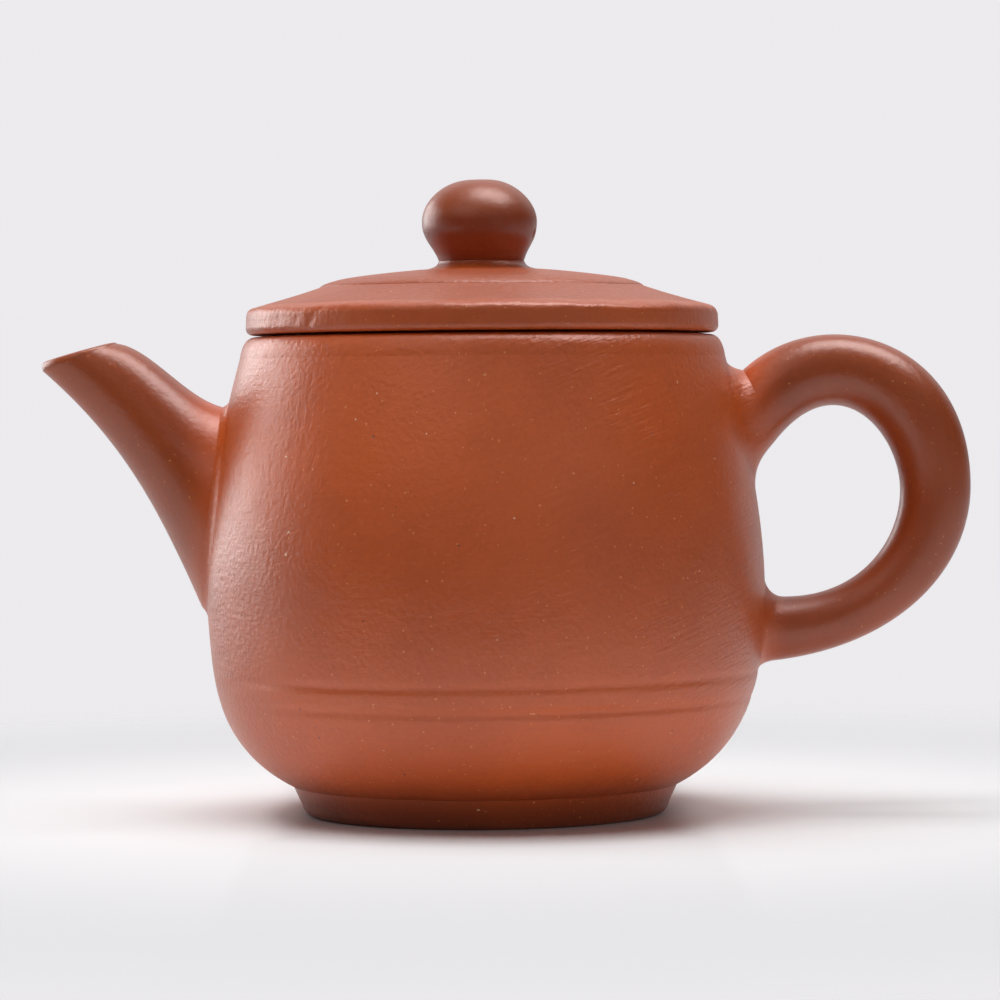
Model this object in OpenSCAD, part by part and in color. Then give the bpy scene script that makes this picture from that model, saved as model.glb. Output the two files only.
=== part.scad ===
// Yixing clay teapot: a small slab-built pot with a straight-cut spout, a loop handle and a
// lift-off lid. Millimetres, +Z up. The origin is on the pot's axis, on the plane that the foot
// stands on. The handle points to +X and the spout to -X.

/* [Body] */
// Largest radius of the body
belly_r = 39; // [38.5:0.1:39.5]
// Height of the largest radius
belly_z = 31; // [29:0.5:33]
// Radius of the wall where it meets the shoulder
shoulder_r = 33.7; // [33.4:0.1:34]
// Height of the top of the wall
wall_top = 63.2; // [63:0.1:63.4]
// Thickness of the clay wall
wall_t = 2.8; // [2.4:0.1:3]
// Thickness of the base disc
base_t = 2.8; // [2.4:0.1:3]
// Height of the upper turned line on the lower wall
upper_line_z = 19.8; // [19:0.1:21]
// Height of the lower turned line
lower_line_z = 16.3; // [15.5:0.1:17]
// Depth of the turned lines
line_depth = 0.25; // [0.1:0.05:0.4]

/* [Foot] */
// Height of the foot ring
foot_h = 4.2; // [3.8:0.1:4.6]
// Outer radius of the foot ring where it meets the body
foot_r = 26.8; // [26.4:0.1:27]
// Outer radius of the ring that touches the table
foot_contact_r = 23.9; // [23.5:0.1:24.2]
// Inner radius of the ring that touches the table
foot_inner_r = 22; // [21.5:0.1:22.3]

/* [Mouth] */
// Thickness of the shoulder disc
shoulder_t = 3; // [2.8:0.1:3.1]
// Inner radius of the mouth
mouth_r = 25.2; // [24.8:0.1:25.6]
// Outer radius of the mouth ring
mouth_ring_r = 28; // [27.6:0.1:28.4]
// Height of the face that the lid rests on
seat_z = 66.5; // [66.4:0.1:66.8]

/* [Lid] */
// Outer radius of the lid
lid_r = 32.85; // [32.5:0.05:33.2]
// Width of the band around the edge of the lid
rim_w = 2.45; // [2:0.05:3]
// Radius of the raised disc on top of the lid
crown_r = 22.5; // [21.5:0.5:23]
// Depth of the flange under the lid
flange_depth = 8; // [6:0.5:9]
// Thickness of the flange
flange_t = 2.6; // [2.2:0.1:3]
// Radial gap between the flange and the mouth
flange_gap = 0.35; // [0.3:0.05:0.5]
// Radius of the vent hole through the knob and the lid
vent_r = 0.8; // [0.6:0.1:1]

/* [Knob] */
// Largest radius of the knob
knob_r = 8.05; // [7.5:0.05:8.5]
// Height of the top of the knob
knob_top = 87.9; // [87.4:0.1:88.4]
// Radius of the neck under the knob
knob_neck_r = 5.95; // [5.5:0.05:6.3]

/* [Spout] */
// Half width of the spout where it meets the body
spout_root_w = 9.8; // [9:0.1:10.4]
// Half width of the spout at its mouth
spout_tip_w = 5; // [4.8:0.1:5.4]
// Thickness of the spout's wall
spout_t = 1.5; // [1.3:0.1:1.6]
// Height of the strainer and of the opening behind it
strainer_z = 42; // [41:0.5:44]
// Radius of the opening through the body wall behind the strainer
strainer_bore_r = 7.4; // [7:0.1:7.6]
// Outer radius of the strainer's dome
strainer_r = 10.5; // [10:0.1:11]
// Radius of each strainer hole
strainer_hole_r = 0.9; // [0.7:0.05:1]

/* [Handle] */
// Half width of the handle across its loop, as a share of half its thickness
handle_flatness = 0.96; // [0.85:0.01:1]

/* [Hidden] */
$fn = 96;

clay = [0.60, 0.28, 0.16];
clay_dark = [0.50, 0.22, 0.12];
clay_light = [0.68, 0.36, 0.24];

curve_steps = 12;       // straight pieces in each turned curve
ring_sides = 32;        // sides of the swept spout and handle
root_gap = 0.08;        // gap that keeps the luted joints' flat facets off the round wall
lute_t = 0.8;           // clay between the wall and the spout's root
base_top = foot_h + base_t;
base_r = foot_r - 1.4;
shoulder_top = wall_top + shoulder_t;
lid_under = seat_z;
rim_in = lid_r - rim_w;
flange_r = mouth_r - flange_gap;

// ---- curves -------------------------------------------------------------------------------

// Point of a cubic curve at t, which runs from 0 at a to 1 at d
function bez(a, b, c, d, t) =
    pow(1 - t, 3) * a + 3 * pow(1 - t, 2) * t * b + 3 * (1 - t) * t * t * c + pow(t, 3) * d;

// The same curve as a list of points
function curve(a, b, c, d, n = curve_steps) = [for (i = [0:n]) bez(a, b, c, d, i / n)];

// A list without its first point, for joining curves end to end
function rest(list) = [for (i = [1:len(list) - 1]) list[i]];
function reversed(list) = [for (i = [len(list) - 1:-1:0]) list[i]];

// Profile moved sideways by t, to the left of its direction
function shifted(p, t) = [
    for (i = [0:len(p) - 1])
        let (a = p[max(i - 1, 0)], b = p[min(i + 1, len(p) - 1)], d = (b - a) / norm(b - a))
            p[i] + t * [-d.y, d.x]
];

// ---- the body's profile: radius and height, from the foot up ---------------------------------

wall_outer = concat(
    curve([foot_r + 0.2, foot_h], [belly_r - 2.4, 9.2], [belly_r, 18.3], [belly_r, belly_z], 16),
    rest(curve([belly_r, belly_z], [belly_r, 42.5], [shoulder_r + 2, 56], [shoulder_r, wall_top]))
);
wall_inner_full = shifted(wall_outer, wall_t);
wall_inner_r_at = [for (p = wall_inner_full) [p.y, p.x]];
wall_inner = concat(
    [[lookup(base_top, wall_inner_r_at), base_top]],
    [for (p = wall_inner_full) if (p.y > base_top + 0.2 && p.y < wall_top - 0.4) p],
    [[shoulder_r - wall_t, wall_top]]
);

// Radius of the body's outside at height z
function body_r(z) = lookup(z, [for (p = wall_outer) [p.y, p.x]]);

// Point above the body's outside: y across, z up, off its clearance, side -1 spout or 1 handle
function on_body(y, z, off, side) = [side * sqrt(pow(body_r(z) + off, 2) - y * y), y, z];

// ---- skins swept over rings of points --------------------------------------------------------

// Triangles between ring a and ring b of n points each, as indices into one point list
function band(a, b, n) = [
    for (j = [0:n - 1], k = [0, 1])
        let (j2 = (j + 1) % n)
            k == 0 ? [a * n + j, b * n + j, b * n + j2] : [a * n + j, b * n + j2, a * n + j2]
];

function joined(lists) = [for (l = lists, e = l) e];

// Closed solid over a row of rings, with a flat cap on the first and last
module skin(rings) {
    n = len(rings[0]);
    m = len(rings);
    sides = joined([for (i = [0:m - 2]) band(i, i + 1, n)]);
    caps = [
        for (j = [1:n - 2], k = [0, 1])
            k == 0 ? [0, j, j + 1] : [(m - 1) * n, (m - 1) * n + j + 1, (m - 1) * n + j]
    ];
    polyhedron(points = joined(rings), faces = concat(sides, caps), convexity = 6);
}

// Closed solid over a loop of rings, which has a way through it
module tube_skin(rings) {
    n = len(rings[0]);
    m = len(rings);
    polyhedron(
        points = joined(rings),
        faces = joined([for (i = [0:m - 1]) band(i, (i + 1) % m, n)]),
        convexity = 6
    );
}

// Oval ring between a low and a high point of the XZ plane, with half width w across Y
function oval(low, high, w, grow = 0) = [
    for (j = [0:ring_sides - 1])
        let (
            a = 360 * j / ring_sides,
            mid = (low + high) / 2,
            half = (high - low) / 2,
            s = 1 + grow / norm(half),
            p = mid + s * half * sin(a)
        )
            [p.x, (w + grow) * cos(a), p.y]
];

// The same ring laid on the body, wider by a margin that may differ above, below and beside
function laid(ring, off, side, margin = [0, 0, 0], scale = 1) =
    let (
        zs = [for (p = ring) p.z],
        mid = (max(zs) + min(zs)) / 2,
        half = (max(zs) - min(zs)) / 2
    )
        [for (p = ring)
            let (
                up = (p.z - mid) / half,
                m = up > 0 ? up * up * margin[0] + (1 - up * up) * margin[2]
                           : up * up * margin[1] + (1 - up * up) * margin[2],
                d = norm([p.y, p.z - mid]),
                k = scale * (1 + m / d)
            )
                on_body(p.y * k, mid + (p.z - mid) * k, off, side)];

// ---- the body ---------------------------------------------------------------------------------

module body_wall() {
    color(clay)
    difference() {
        rotate_extrude()
            polygon(concat(
                wall_outer,
                reversed(wall_inner),
                [[base_r, base_top], [base_r, foot_h]]
            ));
        turned_line(upper_line_z);
        turned_line(lower_line_z);
        translate([0, 0, strainer_z])
            rotate([0, -90, 0])
                cylinder(r = strainer_bore_r, h = belly_r + 5);
    }
}

// Round-bottomed line cut around the wall at height z
module turned_line(z) {
    line_r = 1;
    rotate_extrude()
        translate([body_r(z) + line_r - line_depth, z])
            circle(r = line_r, $fn = 32);
}

module base_disc() {
    color(clay_dark)
        translate([0, 0, foot_h])
            cylinder(r = base_r, h = base_t);
}

module foot_ring() {
    edge_r = 25.6;
    color(clay_dark)
        rotate_extrude()
            polygon(concat(
                [[foot_inner_r - 0.8, foot_h], [foot_inner_r - 0.6, 0.8], [foot_inner_r, 0]],
                curve([foot_contact_r, 0], [edge_r - 0.8, 0], [edge_r - 0.2, 0.7], [edge_r, 1.6], 5),
                [[foot_r, foot_h]]
            ));
}

module shoulder_disc() {
    top = shoulder_top;
    color(clay)
        rotate_extrude()
            polygon(concat(
                [[mouth_ring_r, top], [mouth_ring_r, wall_top]],
                curve([shoulder_r, wall_top], [shoulder_r - 0.2, top - 1.6],
                      [shoulder_r - 0.7, top], [shoulder_r - 2.1, top], 8)
            ));
}

module mouth_ring() {
    low = wall_top - 0.6;
    ease = 0.3;
    color(clay_light)
        rotate_extrude()
            polygon([
                [mouth_r, low + ease], [mouth_r + ease, low], [mouth_ring_r, low],
                [mouth_ring_r, seat_z - ease / 2], [mouth_ring_r - ease / 2, seat_z],
                [mouth_r + ease, seat_z], [mouth_r, seat_z - ease]
            ]);
}

// ---- the spout --------------------------------------------------------------------------------

// Lower and upper outline of the spout in the XZ plane, from the body to the mouth
function spout_low(t) = bez([-39.8, 29], [-44.3, 41], [-49.2, 51.3], [-61.1, 61.8], t);
function spout_high(t) = bez([-36, 56.6], [-41.2, 57.7], [-46.1, 65], [-50.8, 65.2], t);
function spout_w(t) = bez(spout_root_w, spout_root_w - 2.4, spout_tip_w + 1.1, spout_tip_w, t);

// Ring of the spout's outside, or of its passage, at t
function spout_ring(t, inner = false) =
    oval(spout_low(t), spout_high(t), spout_w(t), inner ? -spout_t - 0.2 : 0);

spout_root = laid(spout_ring(0), lute_t, -1);
passage_root = laid(spout_ring(0, inner = true), lute_t, -1);

// Crest of the rounded rim around the spout's mouth
spout_rim = oval([-60.5, 63.2], [-52, 66], spout_tip_w - 0.7);

module spout() {
    steps = 13;
    color(clay)
        tube_skin(concat(
            [spout_root],
            [for (i = [1:steps]) spout_ring(i / steps)],
            [spout_rim],
            [for (i = [steps:-2:1]) spout_ring(i / steps, inner = true)],
            [passage_root]
        ));
}

module spout_joint() {
    margin = [1.2, 2.2, 2.4];
    color(clay_dark)
        tube_skin([
            laid(spout_ring(0), root_gap, -1, margin),
            laid(spout_ring(0), lute_t * 0.35, -1, margin * 0.4),
            spout_root,
            passage_root,
            laid(spout_ring(0, inner = true), root_gap, -1)
        ]);
}

// Dome with a cluster of small holes, luted inside the wall over the opening to the spout
module strainer_dome() {
    shell = 1.6;
    centre = [1.6 - body_r(strainer_z), 0, strainer_z];
    color(clay_light)
        difference() {
            intersection() {
                translate(centre)
                    sphere(r = strainer_r);
                chamber_cone(strainer_z - strainer_r, strainer_z + strainer_r);
            }
            translate(centre)
                sphere(r = strainer_r - shell);
            translate(centre)
                strainer_hole(0, 0);
            for (ring = [1, 2], i = [0:6 * ring - 1])
                translate(centre)
                    strainer_hole(22 * ring, 60 * i / ring);
        }
}

// The chamber's inside between two heights, where its wall is close to a cone
module chamber_cone(z_low, z_high) {
    inner_r_at = [for (p = wall_inner) [p.y, p.x]];
    translate([0, 0, z_low])
        cylinder(r1 = lookup(z_low, inner_r_at), r2 = lookup(z_high, inner_r_at), h = z_high - z_low);
}

// One drilling out of the dome's centre, tilted away from +X and turned around it
module strainer_hole(tilt, turn) {
    rotate([turn, 0, 0])
        rotate([0, 90 - tilt, 0])
            cylinder(r = strainer_hole_r, h = strainer_r + 2);
}

// ---- the handle -------------------------------------------------------------------------------

// Outer and inner outline of the loop in the XZ plane: t from 0 to 1 over the top, 1 to 2 below
function handle_out(t) = t < 1
    ? bez([36.2, 61.2], [47, 71.2], [67.8, 65.8], [67.8, 45], t)
    : bez([67.8, 45], [67.8, 33.4], [57.8, 22.7], [40.2, 20.8], t - 1);
function handle_in(t) = t < 1
    ? bez([40.6, 51.3], [49.4, 62.4], [58, 52.4], [58, 44.5], t)
    : bez([58, 44.5], [58, 37], [52, 29.5], [41.6, 29.7], t - 1);

function handle_ring(t) =
    let (low = handle_out(t), high = handle_in(t))
        oval(low, high, handle_flatness * norm(high - low) / 2);

module handle() {
    steps = 15;
    color(clay)
        skin(reversed([for (i = [0:2 * steps]) handle_ring(i / steps)]));
}

// Pad of clay luted between the wall and one end of the handle
module handle_joint(end_ring, margin) {
    foot = laid(end_ring, root_gap, 1, margin);
    skirt = laid(end_ring, 0.4, 1, margin * 0.3);
    waist = 0.62 * end_ring + 0.38 * skirt;
    color(clay_dark)
        skin([
            end_ring,
            waist,
            foot,
            laid(end_ring, root_gap, 1, margin, 0.7),
            laid(end_ring, root_gap, 1, margin, 0.4),
            laid(end_ring, root_gap, 1, margin, 0.12)
        ]);
}

module handle_joint_top() {
    handle_joint(handle_ring(0), [1.2, 7.4, 2]);
}

module handle_joint_bottom() {
    handle_joint(handle_ring(2), [3, 1.2, 1.6]);
}

// ---- the lid ----------------------------------------------------------------------------------

crown_edge = [crown_r, 73];
rim_edge = [rim_in, 70.6];
under_crown = curve([vent_r, 74], [8, 74], [16, 73.8], crown_edge, 8);
crown_flat_r = 9.5;
crown_top = 75.3;

// The domed slab of the lid, flat below where it rests and hollowed inside the flange
module lid_disc() {
    hollow_r = flange_r - flange_t - 0.6;
    color(clay)
        rotate_extrude()
            polygon(concat(
                under_crown,
                rest(curve(crown_edge, [24.6, 72.25], [27.5, 71.35], rim_edge, 6)),
                [[rim_in, lid_under]],
                curve([hollow_r, lid_under], [hollow_r - 2.5, 69.6], [10, 70.6], [vent_r, 70.6], 8)
            ));
}

// The band around the lid's edge, rounded above and below
module lid_rim() {
    low_r = 1.1;
    high_r = 1.2;
    high_z = 68.8;
    color(clay)
        rotate_extrude()
            polygon(concat(
                [[rim_in, lid_under]],
                curve([lid_r - low_r, lid_under], [lid_r - 0.4, lid_under],
                      [lid_r, lid_under + 0.4], [lid_r, lid_under + low_r], 5),
                curve([lid_r, high_z], [lid_r, high_z + 0.7],
                      [lid_r - 0.6, high_z + high_r], [lid_r - 1.4, high_z + high_r + 0.1], 5),
                [rim_edge]
            ));
}

module lid_crown() {
    color(clay)
        rotate_extrude()
            polygon(concat(
                under_crown,
                reversed(curve([crown_flat_r, crown_top], [14.5, 74.9], [19.5, 74.5],
                               [crown_r - 0.1, 73.2], 10)),
                [[vent_r, crown_top]]
            ));
}

module lid_flange() {
    low = lid_under - flange_depth;
    inner_r = flange_r - flange_t;
    color(clay_dark)
        rotate_extrude()
            polygon(concat(
                [[inner_r, lid_under], [flange_r, lid_under]],
                curve([flange_r, low + 2], [flange_r, low + 0.6], [flange_r - 0.5, low],
                      [flange_r - 1.2, low], 5),
                [[inner_r + 0.5, low], [inner_r, low + 0.5]]
            ));
}

// ---- the knob ---------------------------------------------------------------------------------

knob_waist = [knob_neck_r, crown_top + 1.25];
knob_stem = [[5, crown_top], [5, crown_top + 0.55], knob_waist];

module knob() {
    mid_z = 82.1;
    color(clay)
        rotate_extrude()
            polygon(concat(
                [[vent_r, crown_top]],
                knob_stem,
                rest(curve(knob_waist, [knob_neck_r + 0.95, 79], [knob_r, 79.5], [knob_r, mid_z], 8)),
                rest(curve([knob_r, mid_z], [knob_r, 85], [4.8, knob_top], [vent_r + 0.4, knob_top], 8)),
                [[vent_r, knob_top - 0.5]]
            ));
}

// Fillet of clay that lutes the knob to the lid
module knob_joint() {
    color(clay_dark)
        rotate_extrude()
            polygon(concat(
                knob_stem,
                rest(curve(knob_waist, [6.2, crown_top + 0.5], [7, crown_top + 0.15],
                           [crown_flat_r - 0.1, crown_top], 6))
            ));
}

body_wall();
base_disc();
foot_ring();
shoulder_disc();
mouth_ring();
spout();
spout_joint();
strainer_dome();
handle();
handle_joint_top();
handle_joint_bottom();
lid_disc();
lid_rim();
lid_crown();
lid_flange();
knob();
knob_joint();
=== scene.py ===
import math

import bmesh
import bpy
import numpy as np
from mathutils import Matrix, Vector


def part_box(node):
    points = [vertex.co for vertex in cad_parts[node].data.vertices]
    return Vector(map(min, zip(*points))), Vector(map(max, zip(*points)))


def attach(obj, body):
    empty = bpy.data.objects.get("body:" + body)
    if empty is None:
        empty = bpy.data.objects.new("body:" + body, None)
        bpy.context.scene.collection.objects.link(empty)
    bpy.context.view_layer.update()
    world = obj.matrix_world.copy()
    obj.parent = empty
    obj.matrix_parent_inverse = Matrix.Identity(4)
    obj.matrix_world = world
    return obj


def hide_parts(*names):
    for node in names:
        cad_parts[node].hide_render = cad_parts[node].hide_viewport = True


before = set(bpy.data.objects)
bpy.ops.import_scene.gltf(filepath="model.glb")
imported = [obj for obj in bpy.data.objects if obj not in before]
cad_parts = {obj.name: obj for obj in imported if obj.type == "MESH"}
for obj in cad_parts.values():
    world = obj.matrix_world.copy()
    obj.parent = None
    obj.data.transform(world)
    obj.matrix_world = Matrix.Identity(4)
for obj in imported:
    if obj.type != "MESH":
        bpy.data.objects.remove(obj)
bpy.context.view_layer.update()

# Every length below is in millimetres; meshes are scaled to metres as they are made.
MM = 0.001
UP = np.array([0.0, 0.0, 1.0])
TURN_SIDES = 384          # sides of the turned pieces
TUBE_SIDES = 128          # sides of the spout and the handle
SHARP_ANGLE = 32          # degrees; edges sharper than this stay crisp


def extent(node):
    """Lowest and highest corner of a CAD node, in millimetres."""
    low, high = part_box(node)
    return np.array(low) / MM, np.array(high) / MM


wall_low, wall_high = extent("body_wall")
shoulder_high = extent("shoulder_disc")[1]
mouth_low, mouth_high = extent("mouth_ring")
foot_high = extent("foot_ring")[1]
base_low, base_high = extent("base_disc")
spout_low, spout_high = extent("spout")
handle_high = extent("handle")[1]
rim_low, rim_high = extent("lid_rim")
disc_high = extent("lid_disc")[1]
crown_high = extent("lid_crown")[1]
flange_low, flange_high = extent("lid_flange")
knob_high = extent("knob")[1]
fillet_high = extent("knob_joint")[1]

belly_r = wall_high[0]
belly_z = 31.0            # height of the widest part
wall_top = wall_high[2]
wall_bottom = wall_low[2]
wall_t = 2.8              # the clay's thickness in the wall
shoulder_r = shoulder_high[0]
shoulder_top = shoulder_high[2]
seat_z = mouth_high[2]
vent_r = 0.8              # radius of the vent hole


# ---- curves -------------------------------------------------------------------------------------

def bez(a, b, c, d, t):
    """Points of a cubic curve at the values t, which run from 0 at a to 1 at d."""
    t = np.atleast_1d(np.asarray(t, float))[:, None]
    a, b, c, d = (np.asarray(p, float) for p in (a, b, c, d))
    return (1 - t) ** 3 * a + 3 * (1 - t) ** 2 * t * b + 3 * (1 - t) * t * t * c + t ** 3 * d


def curve(a, b, c, d, steps):
    return bez(a, b, c, d, np.linspace(0, 1, steps + 1))


def line(a, b, steps):
    return np.linspace(a, b, steps + 1)


def joined(*parts):
    """Stretches of a profile end to end, without the points that repeat."""
    points = np.vstack(parts)
    apart = np.linalg.norm(np.diff(points, axis=0), axis=1) > 1e-6
    return points[np.concatenate([[True], apart])]


def eased(corner, before, after, radius, steps=5):
    """A corner of a profile rounded off over radius towards its two neighbours."""
    corner, before, after = (np.asarray(p, float) for p in (corner, before, after))
    a = corner + radius * (before - corner) / np.linalg.norm(before - corner)
    b = corner + radius * (after - corner) / np.linalg.norm(after - corner)
    return curve(a, corner - (corner - a) * 0.45, corner - (corner - b) * 0.45, b, steps)


def rounded(points, radii, spacing=0.6):
    """A closed profile with its corners rounded by their radii and its sides in short steps."""
    points = [np.asarray(p, float) for p in points]
    count = len(points)
    corners = [
        eased(points[i], points[i - 1], points[(i + 1) % count], radii[i])
        if radii[i] else points[i][None]
        for i in range(count)
    ]
    parts = []
    for i in range(count):
        nearest = corners[(i + 1) % count][0]
        steps = max(1, int(np.linalg.norm(nearest - corners[i][-1]) / spacing))
        parts += [corners[i], line(corners[i][-1], nearest, steps)]
    profile = joined(*parts)
    return profile[:-1] if np.linalg.norm(profile[0] - profile[-1]) < 1e-6 else profile


# ---- the maker's hand: small unevenness, as fields over space -----------------------------------

def ripple(points, wavelength, seed, stretch=(1, 1, 1)):
    """A smooth uneven field between about -1 and 1, the same wherever two pieces meet."""
    waves = 9
    rng = np.random.RandomState(seed)
    directions = rng.normal(size=(waves, 3))
    directions /= np.linalg.norm(directions, axis=1)[:, None]
    phases = rng.uniform(0, 2 * math.pi, waves)
    scaled = points / np.asarray(stretch, float)
    return np.sin(scaled @ directions.T * (2 * math.pi / wavelength) + phases).mean(axis=1) * 2.2


# The wall is flatter low on the spout's side: height of the middle, half height and depth.
FLATTER_Z, FLATTER_REACH, FLATTER_DEPTH = 25, 10, 0.6


def hand_shaped(points, deepest=0.14):
    """Pulls the points in towards the axis by up to `deepest`, and further where it is flatter."""
    amount = 0.5 + 0.3 * ripple(points, 70, 11) + 0.2 * ripple(points, 28, 12)
    radius = np.maximum(np.hypot(points[:, 0], points[:, 1]), 20)
    low_down = np.exp(-((points[:, 2] - FLATTER_Z) / FLATTER_REACH) ** 2)
    low_left = low_down * np.clip(-points[:, 0] / radius, 0, 1) ** 2
    pull = deepest * np.clip(amount, 0, 1) + FLATTER_DEPTH * low_left
    out = points.copy()
    out[:, :2] *= (1 - pull / radius)[:, None]
    return out


# ---- meshes -------------------------------------------------------------------------------------

def make_piece(name, points, faces, body, slot, nodes, material):
    """One closed mesh from points in millimetres, shaded smooth, riding on a CAD body."""
    mesh = bpy.data.meshes.new(name)
    mesh.from_pydata((points * MM).tolist(), [], faces)
    shell = bmesh.new()
    shell.from_mesh(mesh)
    bmesh.ops.recalc_face_normals(shell, faces=shell.faces)
    shell.to_mesh(mesh)
    shell.free()
    mesh.shade_smooth()
    mesh.set_sharp_from_angle(angle=math.radians(SHARP_ANGLE))
    mesh.materials.append(material)
    piece = bpy.data.objects.new(name, mesh)
    bpy.context.scene.collection.objects.link(piece)
    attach(piece, body)
    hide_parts(*nodes)
    return piece


def loft(rings, loop=False):
    """Points and faces of a skin over rings. A loop joins last to first; otherwise ends close."""
    rings = np.asarray(rings)
    count, sides = rings.shape[:2]
    points = rings.reshape(-1, 3)
    index = np.arange(count * sides).reshape(count, sides)
    follow = np.roll(index, -1, axis=0) if loop else index[1:]
    start = index if loop else index[:-1]
    quads = np.stack(
        [start, np.roll(start, -1, axis=1), np.roll(follow, -1, axis=1), follow], axis=-1
    ).reshape(-1, 4).tolist()
    if loop:
        return points, quads
    middles = np.array([rings[0].mean(axis=0), rings[-1].mean(axis=0)])
    first, last = len(points), len(points) + 1
    caps = [[first, index[0][(j + 1) % sides], index[0][j]] for j in range(sides)]
    caps += [[last, index[-1][j], index[-1][(j + 1) % sides]] for j in range(sides)]
    return np.vstack([points, middles]), quads + [[int(v) for v in cap] for cap in caps]


def turned(profile, sides=TURN_SIDES):
    """Rings of a closed profile of (radius, height) turned about the axis, ready for loft."""
    angle = np.linspace(0, 2 * math.pi, sides, endpoint=False)
    radius, height = profile[:, :1], profile[:, 1:]
    return np.stack(
        [radius * np.cos(angle), radius * np.sin(angle), height + 0 * angle], axis=-1
    )


def reshaped(points_and_faces, *fields):
    """The same skin with each field applied to its points."""
    points, faces = points_and_faces
    for field in fields:
        points = field(points)
    return points, faces


# ---- the body's outline -------------------------------------------------------------------------

crease = (foot_high[0] + 0.2, wall_bottom)
wall_outline = joined(
    curve(crease, (belly_r - 2.4, 9.2), (belly_r, 18.3), (belly_r, belly_z), 80),
    curve((belly_r, belly_z), (belly_r, 42.5), (shoulder_r + 2, 56), (shoulder_r, wall_top), 90),
)
LINE_HEIGHTS = (19.8, 16.3)
LINE_DEPTH = 0.36
LINE_HALF_WIDTH = 0.56


def body_radius(height):
    return np.interp(height, wall_outline[:, 1], wall_outline[:, 0])


def on_body(y, z, off, side):
    """Points off the body's outside by `off`, on the spout's side (-1) or the handle's (1)."""
    radius = body_radius(z) + off
    return np.stack([side * np.sqrt(np.maximum(radius ** 2 - y ** 2, 0)), y, z], axis=-1)


def turned_lines(points):
    """Presses the two turned lines into the lower wall, deeper in some stretches than others."""
    outside = np.hypot(points[:, 0], points[:, 1]) > body_radius(points[:, 2]) - 0.6
    sideways = points[:, 0] / belly_r
    fading = np.interp(sideways, [-0.9, -0.6, 0.75, 1.0], [0, 1, 1, 0.2])
    depth = np.zeros(len(points))
    for number, height in enumerate(LINE_HEIGHTS):
        drift = 0.12 * ripple(points, 55, 20 + number)
        from_line = (points[:, 2] - height - drift) / LINE_HALF_WIDTH
        strength = (0.85 + 0.35 * ripple(points, 45, 30 + number)) * fading
        depth += LINE_DEPTH * strength * np.exp(-from_line ** 2)
    out = points.copy()
    out[:, :2] *= (1 - outside * depth / belly_r)[:, None]
    return out


def inset(outline, thickness):
    """An outline moved inwards, to the left of its direction."""
    ahead = np.gradient(outline, axis=0)
    ahead /= np.linalg.norm(ahead, axis=1)[:, None]
    return outline + thickness * np.stack([-ahead[:, 1], ahead[:, 0]], axis=1)


# ---- materials ----------------------------------------------------------------------------------

class Nodes:
    """Short names for adding shader nodes to one tree."""

    def __init__(self, tree):
        self.tree = tree
        tree.nodes.clear()

    def add(self, kind, inputs=(), **settings):
        node = self.tree.nodes.new(kind)
        for key, value in settings.items():
            setattr(node, key, value)
        for key, value in dict(inputs).items():
            if isinstance(value, bpy.types.NodeSocket):
                self.tree.links.new(value, node.inputs[key])
            else:
                node.inputs[key].default_value = value
        return node

    def math(self, operation, a, b=0.0, clamp=False):
        node = self.add("ShaderNodeMath", {0: a, 1: b}, operation=operation, use_clamp=clamp)
        return node.outputs[0]

    def noise(self, vector, scale, detail=3.0, rough=0.55):
        node = self.add(
            "ShaderNodeTexNoise",
            {"Vector": vector, "Scale": scale, "Detail": detail, "Roughness": rough},
        )
        return node.outputs["Fac"]

    def stretched(self, vector, scale, rotation=(0, 0, 0)):
        node = self.add(
            "ShaderNodeMapping", {"Vector": vector, "Scale": scale, "Rotation": rotation}
        )
        return node.outputs["Vector"]

    def ramp(self, value, low, high):
        """0 below low and 1 above high, smoothly."""
        node = self.add(
            "ShaderNodeMapRange",
            {"Value": value, "From Min": low, "From Max": high},
            interpolation_type="SMOOTHSTEP",
        )
        return node.outputs["Result"]

    def mix(self, share, a, b):
        node = self.add("ShaderNodeMix", data_type="RGBA")
        for key, value in ((0, share), (6, a), (7, b)):
            if isinstance(value, bpy.types.NodeSocket):
                self.tree.links.new(value, node.inputs[key])
            else:
                node.inputs[key].default_value = value
        return node.outputs[2]

    def blend(self, share, a, b):
        """The number a where share is 0 and b where it is 1."""
        return self.add("ShaderNodeMix", {0: share, 2: a, 3: b}, data_type="FLOAT").outputs[0]

    def darker(self, vector, share):
        """A colour or other vector times a number."""
        node = self.add(
            "ShaderNodeVectorMath", {0: vector, 1: (share, share, share)}, operation="MULTIPLY"
        )
        return node.outputs["Vector"]

    def specks(self, vector, cell, radius, share, seed):
        """1 inside small round specks, one in some of the cells of a grid, and 0 outside."""
        moved = self.shifted(vector, seed)
        cells = self.add(
            "ShaderNodeTexVoronoi",
            {"Vector": moved, "Scale": 1 / cell, "Randomness": 1.0},
            feature="F1",
        )
        size = self.add("ShaderNodeSeparateColor", {"Color": cells.outputs["Color"]})
        edge = self.math("MULTIPLY", size.outputs["Green"], radius / cell)
        inside = self.math("SUBTRACT", edge, cells.outputs["Distance"])
        spot = self.ramp(inside, 0.0, 0.25 * radius / cell)
        chosen = self.math("LESS_THAN", size.outputs["Red"], share)
        return self.math("MULTIPLY", spot, chosen)

    def shifted(self, vector, seed):
        place = (seed, -seed, 0.7 * seed)
        node = self.add("ShaderNodeMapping", {"Vector": vector, "Location": place})
        return node.outputs["Vector"]


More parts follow.
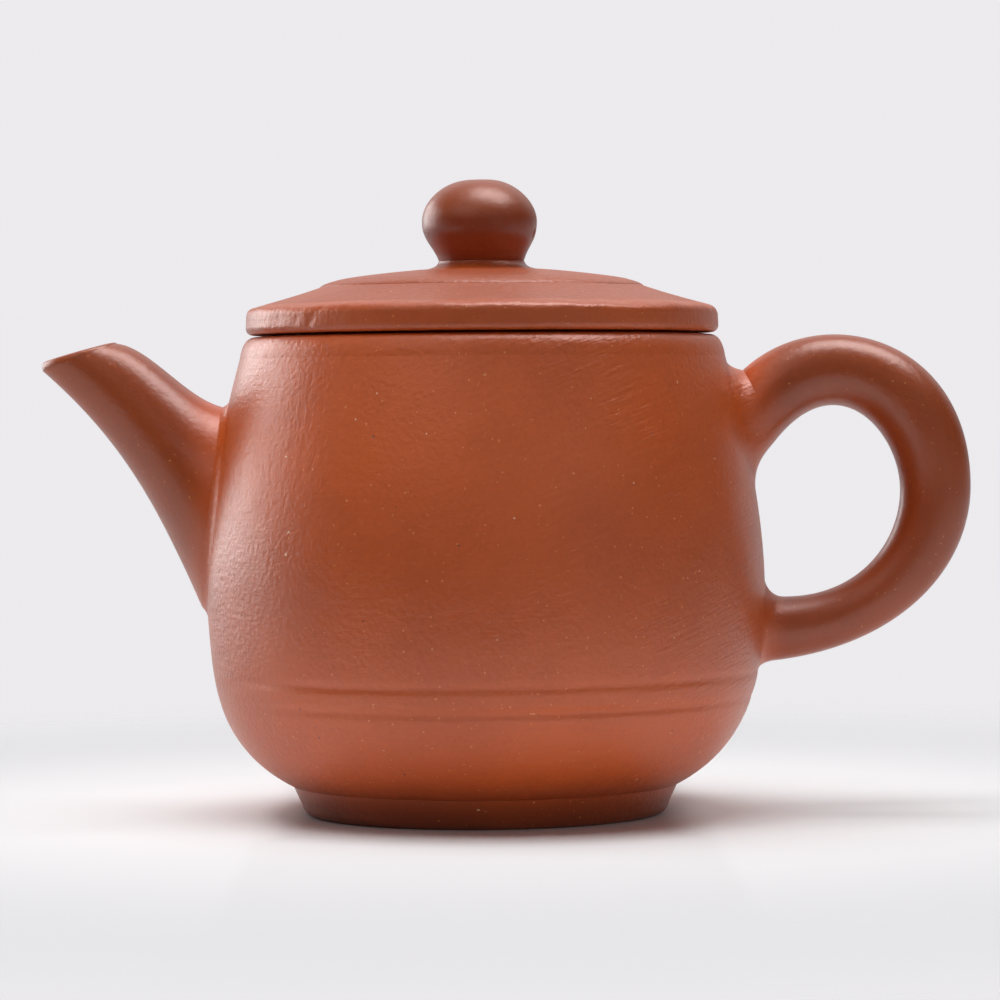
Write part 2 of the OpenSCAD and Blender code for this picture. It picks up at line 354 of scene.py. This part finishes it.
# Colours of the clay and its specks; lengths in the materials are in metres.
CLAY_DEEP = (0.56, 0.092, 0.013)
CLAY_WARM = (0.66, 0.112, 0.016)
CLAY_PALE = (0.70, 0.19, 0.060)
SPECK_FINE = (0.86, 0.36, 0.12, 1)
SPECK_PALE = (0.86, 0.62, 0.42, 1)
SPECK_DARK = (0.055, 0.020, 0.012, 1)
SLANT = math.radians(21)             # of the burnishing strokes high on the handle's side
SLANT_STARTS, SLANT_FULL = 0.030, 0.055     # height plus distance towards the handle
LIMB_STARTS, LIMB_FULL = 0.0365, 0.0430     # distance out from the axis where the painted shade on the spout and handle starts and is full
FOOT_FULL, FOOT_ENDS, FOOT_SHADE_SHARE = 0.0010, 0.0080, 0.42      # heights, and the share of painted shade on the foot
SPECK_WOBBLE = 0.0005                # how far the specks' outlines wander


def shade(colour, depth):
    return tuple(depth * part for part in colour) + (1,)


def clay(name, grain=1.0, specks=1.0, roughness=0.40, strokes=1.0, depth=1.0, limb_shade=1.0):
    """Unglazed clay: mottled colour, specks of grog, a pebbled skin and burnishing strokes.

    Depth darkens the clay all over, and the limb share darkens it outside the wall, on the spout
    and the handle; both are painted shade.
    All clay is also painted darker low down, on the foot: painted shade under the belly."""
    material = bpy.data.materials.new(name)
    material.use_nodes = True
    n = Nodes(material.node_tree)
    place = n.add("ShaderNodeTexCoord").outputs["Object"]

    # Strokes run level round the pot, and slant upwards high on the handle's side.
    parts = n.add("ShaderNodeSeparateXYZ", {0: place}).outputs
    level_strokes = n.noise(n.stretched(place, (130, 130, 2300)), 1.0, 4.0, 0.65)
    slanted = n.stretched(place, (1, 1, 1), (0, SLANT, 0))
    slanting = n.noise(n.stretched(slanted, (150, 150, 2400)), 1.0, 3.0, 0.6)
    upper = n.ramp(n.math("ADD", parts["Z"], parts["X"]), SLANT_STARTS, SLANT_FULL)
    fine_strokes = n.blend(upper, level_strokes, slanting)
    broad_strokes = n.noise(n.stretched(slanted, (40, 40, 420)), 1.0, 3.0, 0.5)
    worked = n.ramp(n.noise(place, 45, 2.0), 0.38, 0.60)

    cloud = n.noise(place, 38, 3.0)
    mottle = n.noise(place, 1500, 3.0, 0.6)
    tone = n.math("ADD", n.math("MULTIPLY", cloud, 0.75), n.math("MULTIPLY", mottle, 0.25))
    # Mottled clay colour; depth scales it down, as painted shade on the lid, its rim and the knob.
    colour = n.mix(n.ramp(tone, 0.38, 0.64), shade(CLAY_DEEP, depth), shade(CLAY_WARM, depth))
    streak = n.math("MULTIPLY", n.ramp(fine_strokes, 0.52, 0.75), 0.16 * strokes)
    colour = n.mix(streak, colour, shade(CLAY_PALE, depth))
    flat = n.add("ShaderNodeCombineXYZ", {"X": parts["X"], "Y": parts["Y"]})
    out_from_axis = n.add("ShaderNodeVectorMath", {0: flat.outputs[0]}, operation="LENGTH")
    # Painted shade: the clay is darker outside the wall, on the spout, the handle and their joints,
    # for the dimmer light those thin pieces get.
    limb = n.ramp(out_from_axis.outputs["Value"], LIMB_STARTS, LIMB_FULL)
    colour = n.mix(limb, colour, n.darker(colour, limb_shade))
    # Painted shade: darker low down, on the foot, where the belly shades it.
    foot = n.ramp(parts["Z"], FOOT_ENDS, FOOT_FULL)
    colour = n.mix(foot, colour, n.darker(colour, FOOT_SHADE_SHARE))

    wobble = n.add("ShaderNodeTexNoise", {"Vector": place, "Scale": 2600, "Detail": 1.0})
    wobble = n.darker(wobble.outputs["Color"], SPECK_WOBBLE)
    uneven = n.add("ShaderNodeVectorMath", {0: place, 1: wobble}, operation="ADD").outputs[0]
    fine_specks = n.specks(uneven, 0.00095, 0.00017, 0.95, 3.1)
    pale_specks = n.specks(uneven, 0.0030, 0.00024, 0.50, 7.7)
    dark_specks = n.math(
        "MAXIMUM",
        n.specks(uneven, 0.0026, 0.00021, 0.50, 5.3),
        n.specks(uneven, 0.0070, 0.00036, 0.30, 9.9),
    )
    colour = n.mix(n.math("MULTIPLY", fine_specks, 0.60 * specks), colour, SPECK_FINE)
    colour = n.mix(n.math("MULTIPLY", pale_specks, 0.80 * specks), colour, SPECK_PALE)
    colour = n.mix(n.math("MULTIPLY", dark_specks, 0.80 * specks), colour, SPECK_DARK)

    pebbles = n.noise(place, 1350, 3.0, 0.5)
    pores = n.noise(place, 2900, 2.0, 0.5)
    height = n.math("MULTIPLY", pebbles, 0.00010 * grain)
    height = n.math("ADD", height, n.math("MULTIPLY", pores, 0.000012 * grain))
    stroke_depth = n.math("MULTIPLY", n.blend(upper, 0.00004, 0.00010), strokes)
    stroke_height = n.math("MULTIPLY", fine_strokes, stroke_depth)
    broad_height = n.math("MULTIPLY", broad_strokes, 0.00008 * strokes)
    stroke_height = n.math("ADD", stroke_height, broad_height)
    height = n.math("ADD", height, n.math("MULTIPLY", stroke_height, worked))
    height = n.math("SUBTRACT", height, n.math("MULTIPLY", dark_specks, 0.00004))
    bump = n.add("ShaderNodeBump", {"Height": height, "Strength": 1.0, "Distance": 1.0})

    gloss = n.math("MULTIPLY", n.math("SUBTRACT", pebbles, 0.5), 0.16)
    gloss = n.math("ADD", gloss, n.math("MULTIPLY", worked, -0.05))
    rough = n.math("ADD", gloss, roughness, clamp=True)
    shader = n.add(
        "ShaderNodeBsdfPrincipled",
        {"Base Color": colour, "Roughness": rough, "IOR": 1.65, "Normal": bump.outputs[0]},
    )
    n.add("ShaderNodeOutputMaterial", {"Surface": shader.outputs[0]})
    return material


# Painted shade: both clays below are darker on the spout, the handle and their joints.
body_clay = clay("burnished_body_clay", roughness=0.40, limb_shade=0.58)
limb_clay = clay(
    "smoothed_limb_clay", grain=0.45, specks=0.6, roughness=0.38, strokes=0.15, limb_shade=0.58
)
# Painted shade: depth paints the lid, its rim and the knob darker than the body, though all are the
# same clay.
lid_clay = clay("lid_clay", grain=1.7, specks=1.5, roughness=0.46, strokes=0.3, depth=0.72)
rim_clay = clay("lid_rim_clay", grain=1.1, specks=1.1, roughness=0.42, strokes=0.5, depth=0.88)
knob_clay = clay("knob_clay", grain=0.3, specks=0.15, roughness=0.42, strokes=0.2, depth=0.55)
inner_clay = clay("inner_clay", grain=1.4, roughness=0.6, strokes=1.2)


# ---- the body's pieces --------------------------------------------------------------------------

def cut_through(piece, cutter):
    """Cuts the cutter's shape out of a piece and removes the cutter."""
    modifier = piece.modifiers.new("opening", "BOOLEAN")
    modifier.operation = "DIFFERENCE"
    modifier.object = cutter
    modifier.solver = "EXACT"
    with bpy.context.temp_override(object=piece, active_object=piece):
        bpy.ops.object.modifier_apply(modifier=modifier.name)
    bpy.data.objects.remove(cutter)


SPOUT_OPENING_R = 7.4


def make_body_wall():
    inner = inset(wall_outline, wall_t)
    base_top = base_high[2]
    keep = (inner[:, 1] > base_top + 0.3) & (inner[:, 1] < wall_top - 0.4)
    inner = inner[keep][::-4]
    profile = joined(
        wall_outline,
        np.array([[shoulder_r - wall_t, wall_top]]),
        inner,
        np.array([
            [inner[-1][0] - 0.6, base_top], [base_high[0], base_top], [base_high[0], wall_bottom]
        ]),
    )
    skin = reshaped(loft(turned(profile), loop=True), turned_lines, hand_shaped)
    wall = make_piece("body_wall_skin", *skin, "pot", "clay_body", ["body_wall"], body_clay)
    strainer_low, strainer_high = extent("strainer_dome")
    middle = (strainer_low[2] + strainer_high[2]) / 2
    bpy.ops.mesh.primitive_cylinder_add(
        vertices=96, radius=SPOUT_OPENING_R * MM, depth=16 * MM,
        location=(-belly_r * MM, 0, middle * MM), rotation=(0, math.pi / 2, 0),
    )
    cut_through(wall, bpy.context.object)
    wall.data.set_sharp_from_angle(angle=math.radians(SHARP_ANGLE))


def make_shoulder():
    over = curve((shoulder_r, wall_top), (shoulder_r - 0.2, shoulder_top - 1.6),
                 (shoulder_r - 0.7, shoulder_top), (shoulder_r - 2.1, shoulder_top), 40)
    hole_r = mouth_high[0]
    profile = joined(
        over,
        line((shoulder_r - 2.1, shoulder_top), (hole_r, shoulder_top), 8),
        line((hole_r, wall_top), (shoulder_r, wall_top), 6)[:-1],
    )
    skin = reshaped(loft(turned(profile), loop=True), hand_shaped)
    make_piece("shoulder_skin", *skin, "pot", "clay_body", ["shoulder_disc"], body_clay)


FLANGE_PLAY = 0.35        # between the lid's flange and the mouth


def make_mouth_ring():
    inner_r, outer_r, low = flange_high[0] + FLANGE_PLAY, mouth_high[0], mouth_low[2]
    profile = rounded(
        [(inner_r, low), (outer_r, low), (outer_r, seat_z), (inner_r, seat_z)],
        [0.4, 0, 0.3, 0.35], 0.5,
    )
    skin = loft(turned(profile, 256), loop=True)
    make_piece("mouth_ring_skin", *skin, "pot", "clay_body", ["mouth_ring"], inner_clay)


def make_foot():
    contact_r, inner_r = 23.9, 22.0
    outer = joined(
        line((foot_high[0], foot_high[2]), (25.6, 1.6), 8),
        curve((25.6, 1.6), (25.4, 0.7), (24.8, 0), (contact_r, 0), 10),
    )
    hollow = joined(
        curve((inner_r, 0), (21.7, 0), (21.4, 0.3), (inner_r - 0.6, 0.8), 6),
        line((inner_r - 0.6, 0.8), (inner_r - 0.8, foot_high[2]), 6),
    )
    profile = joined(outer, hollow)
    skin = reshaped(loft(turned(profile), loop=True), hand_shaped)
    make_piece("foot_ring_skin", *skin, "pot", "clay_body", ["foot_ring"], body_clay)


def make_base():
    """The base disc, with a shallow trimmed hollow underneath, as a turning tool leaves it."""
    radius, low, high = base_high[0], base_low[2], base_high[2]
    under = curve((0.02, low + 0.5), (8, low + 0.5), (14, low + 0.1), (foot_high[0] - 5.8, low), 24)
    profile = joined(under, np.array([[radius, low], [radius, high], [0.02, high]]))
    skin = loft(turned(profile, 192), loop=True)
    make_piece("base_disc_skin", *skin, "pot", "clay_body", ["base_disc"], inner_clay)


# ---- swept pieces -------------------------------------------------------------------------------

ANGLES = np.linspace(0, 2 * math.pi, TUBE_SIDES, endpoint=False)


def oval(low, high, half_width, grow=0.0, lift=0.0):
    """Ring between a low and a high point of the XZ plane, half_width across Y."""
    low, high = np.asarray(low, float), np.asarray(high, float)
    middle, half = (low + high) / 2, (high - low) / 2
    length = np.linalg.norm(half)
    normal = np.array([-half[1], half[0]]) / length
    middle = middle + np.atleast_1d(lift)[:, None] * normal
    spine = middle + np.sin(ANGLES)[:, None] * half * (1 + grow / length)
    return np.stack([spine[:, 0], (half_width + grow) * np.cos(ANGLES), spine[:, 1]], axis=-1)


def laid(ring, off, side, margin=(0, 0, 0), scale=1.0):
    """The ring laid on the body, wider by a margin above, below and beside."""
    low, high = ring[:, 2].min(), ring[:, 2].max()
    middle, half = (low + high) / 2, (high - low) / 2
    up = (ring[:, 2] - middle) / half
    square = np.minimum(up * up, 1)
    extra = np.where(up > 0, margin[0], margin[1]) * square + margin[2] * (1 - square)
    reach = np.hypot(ring[:, 1], ring[:, 2] - middle)
    k = scale * (1 + extra / reach)
    return on_body(ring[:, 1] * k, middle + (ring[:, 2] - middle) * k, off, side)


def unit(vectors):
    return vectors / np.linalg.norm(vectors, axis=-1, keepdims=True)


def smeared(end, following, side, margin, crease_share, steps=14):
    """Rings of slip clay smeared from a swept piece's end ring down onto the body.

    Each strand leaves the body along its surface and meets the piece along the piece's own
    direction, less crease_share of it, so that a crease shows where that share is large."""
    foot = laid(end, -0.04, side, margin)
    under = on_body(end[:, 1], end[:, 2], 0.0, side)
    leave = foot + 0.55 * (under - foot)
    leave = on_body(leave[:, 1], leave[:, 2], 0.0, side)
    reach = np.linalg.norm(end - under, axis=1)[:, None] * 0.6
    along = unit(following - end)
    smooth = end - reach * along
    sharp = end + 0.45 * (leave - end)
    share = crease_share[:, None]
    arrive = smooth * (1 - share) + sharp * share
    t = np.linspace(0, 1, steps + 1)[:, None, None]
    return (1 - t) ** 3 * end + 3 * (1 - t) ** 2 * t * arrive \
        + 3 * (1 - t) * t * t * leave + t ** 3 * foot


TIP_ROOM = 0.05           # keeps the rounded lip inside the CAD box, as it rises past the outline
SPOUT_WALL = 1.6
LIP_RISE = 1.1            # height of the lip's rounding


def spout_outline(t):
    """Lower and upper outline point of the spout at t, from the body (0) to the mouth (1)."""
    tip_x, root_z = spout_low[0], spout_low[2]
    lip_z = spout_high[2]
    low = bez((-39.8, root_z), (-44.3, 41), (-49.2, 51.3), (tip_x + TIP_ROOM, 61.8), t)[0]
    high = bez((-36, 56.6), (-41.2, 57.7), (-46.1, 65), (-50.8, lip_z - 0.45), t)[0]
    return low, high


def spout_half_width(t):
    root, tip = spout_high[1], 5.0
    return float(bez([root], [root - 2.4], [tip + 1.1], [tip], t)[0][0])


def spout_ring(t, grow=0.0, lift=0.0):
    low, high = spout_outline(t)
    return oval(low, high, spout_half_width(t), grow, lift)


def make_spout():
    steps = 90
    outside = [spout_ring(t) for t in np.linspace(0, 1, steps + 1)]
    lip = []
    for turn in np.linspace(0, math.pi, 11)[1:-1]:
        inward = SPOUT_WALL * (1 - math.cos(turn)) / 2
        lift = LIP_RISE * math.sin(turn) * (1 - 0.68 * (0.5 + 0.5 * np.sin(ANGLES)))
        lip.append(spout_ring(1, -inward, lift))
    passage = [spout_ring(t, -SPOUT_WALL) for t in np.linspace(1, 0, steps // 2 + 1)]
    root = laid(outside[0], 0.8, -1)
    passage_root = laid(passage[-1], 0.8, -1)
    rings = [root] + outside[2:] + lip + passage[:-1] + [passage_root]
    skin = reshaped(loft(rings, loop=True), hand_shaped)
    make_piece("spout_skin", *skin, "pot", "clay_body", ["spout"], limb_clay)

    up = np.clip(np.sin(ANGLES) * 0.5 + 0.5, 0, 1)
    strands = smeared(root, outside[4], -1, (1.0, 2.0, 1.8), 0.25 + 0.75 * up)
    passage_foot = laid(passage_root, -0.5, -1)
    under = laid(root, -0.6, -1, (0.6, 1.4, 1.2))
    rings = list(strands) + [under, passage_foot, passage_root]
    skin = reshaped(loft(rings, loop=True), hand_shaped)
    make_piece("spout_joint_skin", *skin, "pot", "clay_slip", ["spout_joint"], body_clay)


HANDLE_THICKNESS = 9.8    # at the loop's outermost point


def handle_outline(t):
    """Outer and inner outline point of the loop: t from 0 to 1 over the top, 1 to 2 below."""
    out_x = handle_high[0]
    in_x = out_x - HANDLE_THICKNESS
    if t <= 1:
        outer = bez((36.2, 61.2), (47, 71.2), (out_x, 65.8), (out_x, 45), t)
        inner = bez((40.6, 51.3), (49.4, 62.4), (in_x, 52.4), (in_x, 44.5), t)
    else:
        outer = bez((out_x, 45), (out_x, 33.4), (57.8, 22.7), (40.2, 20.8), t - 1)
        inner = bez((in_x, 44.5), (in_x, 37), (52, 29.5), (41.6, 29.7), t - 1)
    return outer[0], inner[0]


def handle_ring(t):
    outer, inner = handle_outline(t)
    return oval(outer, inner, 0.96 * np.linalg.norm(inner - outer) / 2)


def make_handle():
    steps = 180
    rings = [handle_ring(2 * i / steps) for i in range(steps + 1)]
    skin = reshaped(loft(rings), hand_shaped)
    make_piece("handle_skin", *skin, "pot", "clay_body", ["handle"], limb_clay)

    # A ring's first side points to the body's front (-Y), and its angle grows from outer to inner.
    outer_side = np.clip(0.5 - 0.5 * np.sin(ANGLES), 0, 1)
    joints = (
        ("handle_joint_top", rings[0], rings[3], (1.4, 7.8, 3.0), 0.9 * outer_side ** 2),
        ("handle_joint_bottom", rings[-1], rings[-4], (3.2, 1.3, 2.2), 0.1 + 0 * outer_side),
    )
    for node, end, following, margin, crease_share in joints:
        strands = smeared(end, following, 1, margin, crease_share)
        inside = [laid(end, -0.6, 1, margin, k) for k in (0.93, 0.6, 0.3)]
        skin = reshaped(loft(list(strands) + inside), hand_shaped)
        make_piece(node + "_skin", *skin, "pot", "clay_slip", [node], body_clay)


# ---- the lid's pieces ---------------------------------------------------------------------------

lid_under = rim_low[2]
lid_r = rim_high[0]
rim_in = disc_high[0]
rim_edge = (rim_in, rim_high[2])
crown_r = crown_high[0]
crown_edge = (crown_r, 73)
crown_top = crown_high[2]
crown_flat_r = 9.5


# Dents pressed into the rim in front of the spout: bearing and half width in degrees, depth.
RIM_DENTS = (
    (-133.5, 1.5, 0.090), (-139, 2.2, 0.050), (-147, 3.5, 0.055), (-158, 4.0, 0.050)
)
DENT_SLANT = 1.6          # degrees round the rim for each millimetre up
RIM_MIDDLE = 68.5


def lid_hand(points):
    """The lid's own unevenness: a broad warp, and small dents along the rim."""
    radius = np.hypot(points[:, 0], points[:, 1])
    at_rim = np.clip((radius - 29.5) / 2.5, 0, 1)
    high_up = np.clip((points[:, 2] - lid_under) / 3.4, 0, 1)
    out = points.copy()
    uneven = 0.5 + 0.5 * ripple(points, 9, 41, (1, 1, 2.5))
    fine = 0.5 + 0.5 * ripple(points, 3.6, 42, (1, 1, 2))
    bearing = np.degrees(np.arctan2(points[:, 1], points[:, 0]))
    bearing = bearing - DENT_SLANT * (points[:, 2] - RIM_MIDDLE)
    dents = sum(d * np.exp(-((bearing - at) / width) ** 2) for at, width, d in RIM_DENTS)
    dents = dents * (1.0 + 0.5 * ripple(points, 2.2, 46))
    pull = at_rim * (0.10 * np.clip(uneven, 0, 1) + 0.05 * np.clip(fine, 0, 1) + dents)
    out[:, :2] *= (1 - pull / lid_r)[:, None]
    wave = 0.12 * ripple(points, 16, 43) + 0.09 * ripple(points, 5.0, 44)
    out[:, 2] += at_rim * high_up * (wave - 0.08)
    top = high_up * (1 - at_rim)
    out[:, 2] += top * 0.05 * ripple(points, 14, 45)
    return out


def make_lid():
    under_crown = curve((vent_r, 74), (8, 74), (16, 73.8), crown_edge, 30)
    slope = curve(crown_edge, (24.6, 72.25), (27.5, 71.35), rim_edge, 30)
    hollow_r = flange_high[0] - 3.2
    hollow = curve((hollow_r, lid_under), (hollow_r - 2.5, 69.6), (10, 70.6), (vent_r, 70.6), 40)
    profile = joined(under_crown, slope, line(rim_edge, (rim_in, lid_under), 6), hollow)
    skin = reshaped(loft(turned(profile), loop=True), lid_hand)
    make_piece("lid_disc_skin", *skin, "lid", "clay_lid", ["lid_disc"], lid_clay)

    face_low, face_high = lid_under + 1.0, 69.0
    profile = joined(
        line((rim_in, lid_under), (lid_r - 1.0, lid_under), 4),
        curve((lid_r - 1.0, lid_under), (lid_r - 0.4, lid_under), (lid_r, lid_under + 0.4),
              (lid_r, face_low), 12),
        line((lid_r, face_low), (lid_r - 0.05, face_high), 10),
        curve((lid_r - 0.05, face_high), (lid_r - 0.1, face_high + 0.75),
              (lid_r - 0.5, face_high + 1.12), (lid_r - 1.25, face_high + 1.3), 16),
        line((lid_r - 1.25, face_high + 1.3), rim_edge, 6),
        line(rim_edge, (rim_in, lid_under), 6)[:-1],
    )
    skin = reshaped(loft(turned(profile, 2 * TURN_SIDES), loop=True), lid_hand)
    make_piece("lid_rim_skin", *skin, "lid", "clay_lid", ["lid_rim"], rim_clay)

    step_r = crown_r - 1.9
    over = joined(
        curve((crown_r, 72.97), (crown_r - 0.1, 73.25), (step_r + 1.0, 73.62), (step_r, 73.85), 16),
        curve((step_r, 73.85), (step_r - 0.9, 74.25), (14.5, 74.85), (crown_flat_r, crown_top), 40),
    )
    profile = joined(
        under_crown[:-1], over,
        line((crown_flat_r, crown_top), (vent_r, crown_top), 12),
    )
    skin = reshaped(loft(turned(profile), loop=True), lid_hand)
    make_piece("lid_crown_skin", *skin, "lid", "clay_lid", ["lid_crown"], lid_clay)

    low, high = flange_low[2], flange_high[2]
    outer_r, inner_r = flange_high[0], flange_high[0] - 2.6
    profile = rounded(
        [(inner_r, high), (inner_r, low), (outer_r - 0.15, low), (outer_r, high)],
        [0, 0.5, 1.0, 0], 0.7,
    )
    skin = loft(turned(profile, 256), loop=True)
    make_piece("lid_flange_skin", *skin, "lid", "clay_lid", ["lid_flange"], inner_clay)


def knob_hand(points):
    """The knob's unevenness, and the small nick low on its right."""
    middle = np.array([0, 0, 82.0])
    away = points - middle
    out = middle + away * (1 - 0.011 * (1 + 0.5 * ripple(points, 9, 51)))[:, None]
    out[:, 2] = np.where(points[:, 2] < 77.2, points[:, 2], out[:, 2])
    out[:, 0] -= 0.25 * np.clip((points[:, 2] - 77) / 4, 0, 1)
    nick = np.array([7.6, -1.6, 80.3])
    distance = np.linalg.norm((points - nick) / np.array([1, 1, 1.6]), axis=1)
    out -= unit(away) * (0.30 * np.exp(-(distance / 0.55) ** 2))[:, None]
    return out


def make_knob():
    top, neck_r = knob_high[2], 5.95
    waist = (neck_r, crown_top + 1.25)
    knob_r = knob_high[0]
    stem = np.array([[5, crown_top], [5, crown_top + 0.55], waist])
    ball = joined(
        curve(waist, (neck_r + 0.95, 79), (knob_r, 79.5), (knob_r, 82.1), 40),
        curve((knob_r, 82.1), (knob_r, 85), (4.8, top), (vent_r + 0.5, top), 60),
        curve((vent_r + 0.5, top), (vent_r + 0.2, top),
              (vent_r, top - 0.2), (vent_r, top - 0.6), 5),
    )
    profile = joined(np.array([[vent_r, crown_top]]), stem[:-1], ball,
                     line((vent_r, top - 0.6), (vent_r, crown_top + 0.8), 6))
    skin = reshaped(loft(turned(profile, 256), loop=True), knob_hand)
    make_piece("knob_skin", *skin, "lid", "clay_lid", ["knob"], knob_clay)

    fillet = curve(waist, (6.15, crown_top + 0.55), (6.9, crown_top + 0.12),
                   (fillet_high[0], crown_top - 0.01), 20)
    profile = joined(stem, fillet)
    skin = loft(turned(profile, 256), loop=True)
    make_piece("knob_joint_skin", *skin, "lid", "clay_slip", ["knob_joint"], rim_clay)


make_body_wall()
make_shoulder()
make_mouth_ring()
make_foot()
make_base()
make_spout()
make_handle()
make_lid()
make_knob()
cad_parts["strainer_dome"].data.materials.clear()
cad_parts["strainer_dome"].data.materials.append(inner_clay)


# ---- camera, stage and light --------------------------------------------------------------------

def make_camera():
    """At table height in front of the pot, through a long lens, with a slight tilt and roll."""
    distance, eye_height = 0.5614, 0.0569
    pitch, yaw, roll = math.radians(-1.375), math.radians(-0.235), math.radians(-0.45)
    data = bpy.data.cameras.new("camera")
    data.lens = 145.5
    data.sensor_width = 36
    data.clip_start, data.clip_end = 0.01, 50
    camera = bpy.data.objects.new("camera", data)
    bpy.context.scene.collection.objects.link(camera)
    turn = Matrix.Rotation(yaw, 4, "Z") @ Matrix.Rotation(math.pi / 2 + pitch, 4, "X")
    camera.matrix_world = Matrix.Translation((0, -distance, eye_height)) @ turn \
        @ Matrix.Rotation(roll, 4, "Z")
    bpy.context.scene.camera = camera


LIGHT_DISTANCE = 2.0                 # metres, from the pot to each softbox
BACKDROP = (0.842, 0.827, 0.850)
FLOOR_GLOW = 0.15                    # painted light: the floor glows round the pot and beside it, lifting its shadow there, for the light a table bounces about


def make_floor():
    """A round pale floor that fades out into the background, and glows with painted light near the
    pot.
    """
    radius, sides = 2.5, 96
    bpy.ops.mesh.primitive_circle_add(vertices=sides, radius=radius, fill_type="TRIFAN")
    floor = bpy.context.object
    floor.name = "floor"
    material = bpy.data.materials.new("floor")
    material.use_nodes = True
    n = Nodes(material.node_tree)
    place = n.add("ShaderNodeTexCoord").outputs["Object"]
    away = n.add("ShaderNodeVectorMath", {0: place}, operation="LENGTH").outputs["Value"]
    parts = n.add("ShaderNodeSeparateXYZ", {0: place})
    near_side = n.ramp(parts.outputs["Y"], -0.16, -0.28)
    gone_for_light = n.math("MAXIMUM", n.ramp(away, 0.35, 1.6), near_side)
    gone_for_eye = n.math("MAXIMUM", n.ramp(away, 0.075, 0.24), near_side)
    eye = n.add("ShaderNodeLightPath").outputs["Is Camera Ray"]
    gone = n.blend(eye, gone_for_light, gone_for_eye)
    white = n.add("ShaderNodeBsdfDiffuse", {"Color": (0.80, 0.80, 0.815, 1)})
    clear = n.add("ShaderNodeBsdfTransparent")
    # Painted light: the floor glows from under the belly's edge outwards and in bands beside the
    # pot, lightening its shadow there; the glow fades out further away.
    beside = n.ramp(n.math("ABSOLUTE", parts.outputs["X"]), 0.023, 0.032)
    under_edge = n.math("MAXIMUM", n.ramp(away, 0.036, 0.048), n.math("MULTIPLY", beside, 1.3))
    near = n.math("MULTIPLY", under_edge, n.ramp(away, 0.160, 0.040))
    glow = n.add("ShaderNodeEmission", {"Strength": n.math("MULTIPLY", near, FLOOR_GLOW)})
    lit = n.add("ShaderNodeAddShader", {0: white.outputs[0], 1: glow.outputs[0]})
    mixed = n.add("ShaderNodeMixShader", {0: gone, 1: lit.outputs[0], 2: clear.outputs[0]})
    n.add("ShaderNodeOutputMaterial", {"Surface": mixed.outputs[0]})
    floor.data.materials.append(material)


def make_softbox(name, bearing, elevation, width, height, radiance, gloss=False):
    """A far softbox: bearing in degrees from the camera's side round by -X, sizes in metres."""
    data = bpy.data.lights.new(name, "AREA")
    data.shape = "RECTANGLE"
    data.size, data.size_y = width, height
    data.energy = radiance * math.pi * width * height
    around, up = math.radians(bearing), math.radians(elevation)
    aim = np.array([0, 0, 0.045])
    place = aim + LIGHT_DISTANCE * np.array(
        [-math.sin(around) * math.cos(up), -math.cos(around) * math.cos(up), math.sin(up)]
    )
    light = bpy.data.objects.new(name, data)
    bpy.context.scene.collection.objects.link(light)
    back = unit(place - aim)
    side = unit(np.cross(UP if abs(back[2]) < 0.99 else np.array([0, 1.0, 0]), back))
    rows = np.stack([side, np.cross(back, side), back], axis=1)
    light.matrix_world = Matrix.Translation(place) @ Matrix(rows.tolist()).to_4x4()
    light.visible_camera = False
    light.visible_glossy = gloss
    light.visible_diffuse = not gloss


def make_world():
    """Pale all round for the eye; as light, bright behind and above, and dim in front."""
    world = bpy.data.worlds.new("studio")
    bpy.context.scene.world = world
    world.use_nodes = True
    n = Nodes(world.node_tree)
    way = n.add("ShaderNodeTexCoord").outputs["Generated"]
    parts = n.add("ShaderNodeSeparateXYZ", {0: way})
    behind = n.ramp(parts.outputs["Y"], 0.42, 0.80)
    raised = n.math(
        "MULTIPLY", n.ramp(parts.outputs["Y"], 0.15, 0.65), n.ramp(parts.outputs["Z"], 0.15, 0.60)
    )
    below = n.ramp(parts.outputs["Z"], 0.02, -0.02)
    level = n.math("ADD", n.math("MULTIPLY", behind, 0.45), 0.05)
    level = n.math("ADD", level, n.math("MULTIPLY", raised, 0.55))
    beyond = n.ramp(parts.outputs["Y"], 0.0, 0.55)
    level = n.math("MAXIMUM", level, n.math("MULTIPLY", n.math("MULTIPLY", below, beyond), 0.80))
    path = n.add("ShaderNodeLightPath").outputs
    level = n.math("MULTIPLY", level, n.blend(path["Is Diffuse Ray"], 1.0, 0.4))
    lighting = n.add("ShaderNodeBackground", {"Color": (1, 0.99, 1, 1), "Strength": level})
    seen = n.add("ShaderNodeBackground", {"Color": (*BACKDROP, 1), "Strength": 1.0})
    mixed = n.add(
        "ShaderNodeMixShader",
        {0: path["Is Camera Ray"], 1: lighting.outputs[0], 2: seen.outputs[0]},
    )
    n.add("ShaderNodeOutputWorld", {"Surface": mixed.outputs[0]})


make_camera()
make_floor()
make_world()
make_softbox("left_glow", 124, 13, 1.8, 1.1, 4.0, gloss=True)
make_softbox("left_soft", 100, 32, 1.7, 1.1, 0.35)
make_softbox("right_soft", -45, 15, 1.5, 1.1, 0.5)
make_softbox("front_glow", 35, 36, 1.6, 0.8, 0.8, gloss=True)
make_softbox("front_soft", -15, 20, 2.0, 1.0, 0.55)
make_softbox("top_glow", -90, 74, 1.2, 1.7, 6.2, gloss=True)
make_softbox("top_soft", 90, 82, 1.6, 1.6, 4.8)
bpy.context.scene.view_settings.view_transform = "Standard"
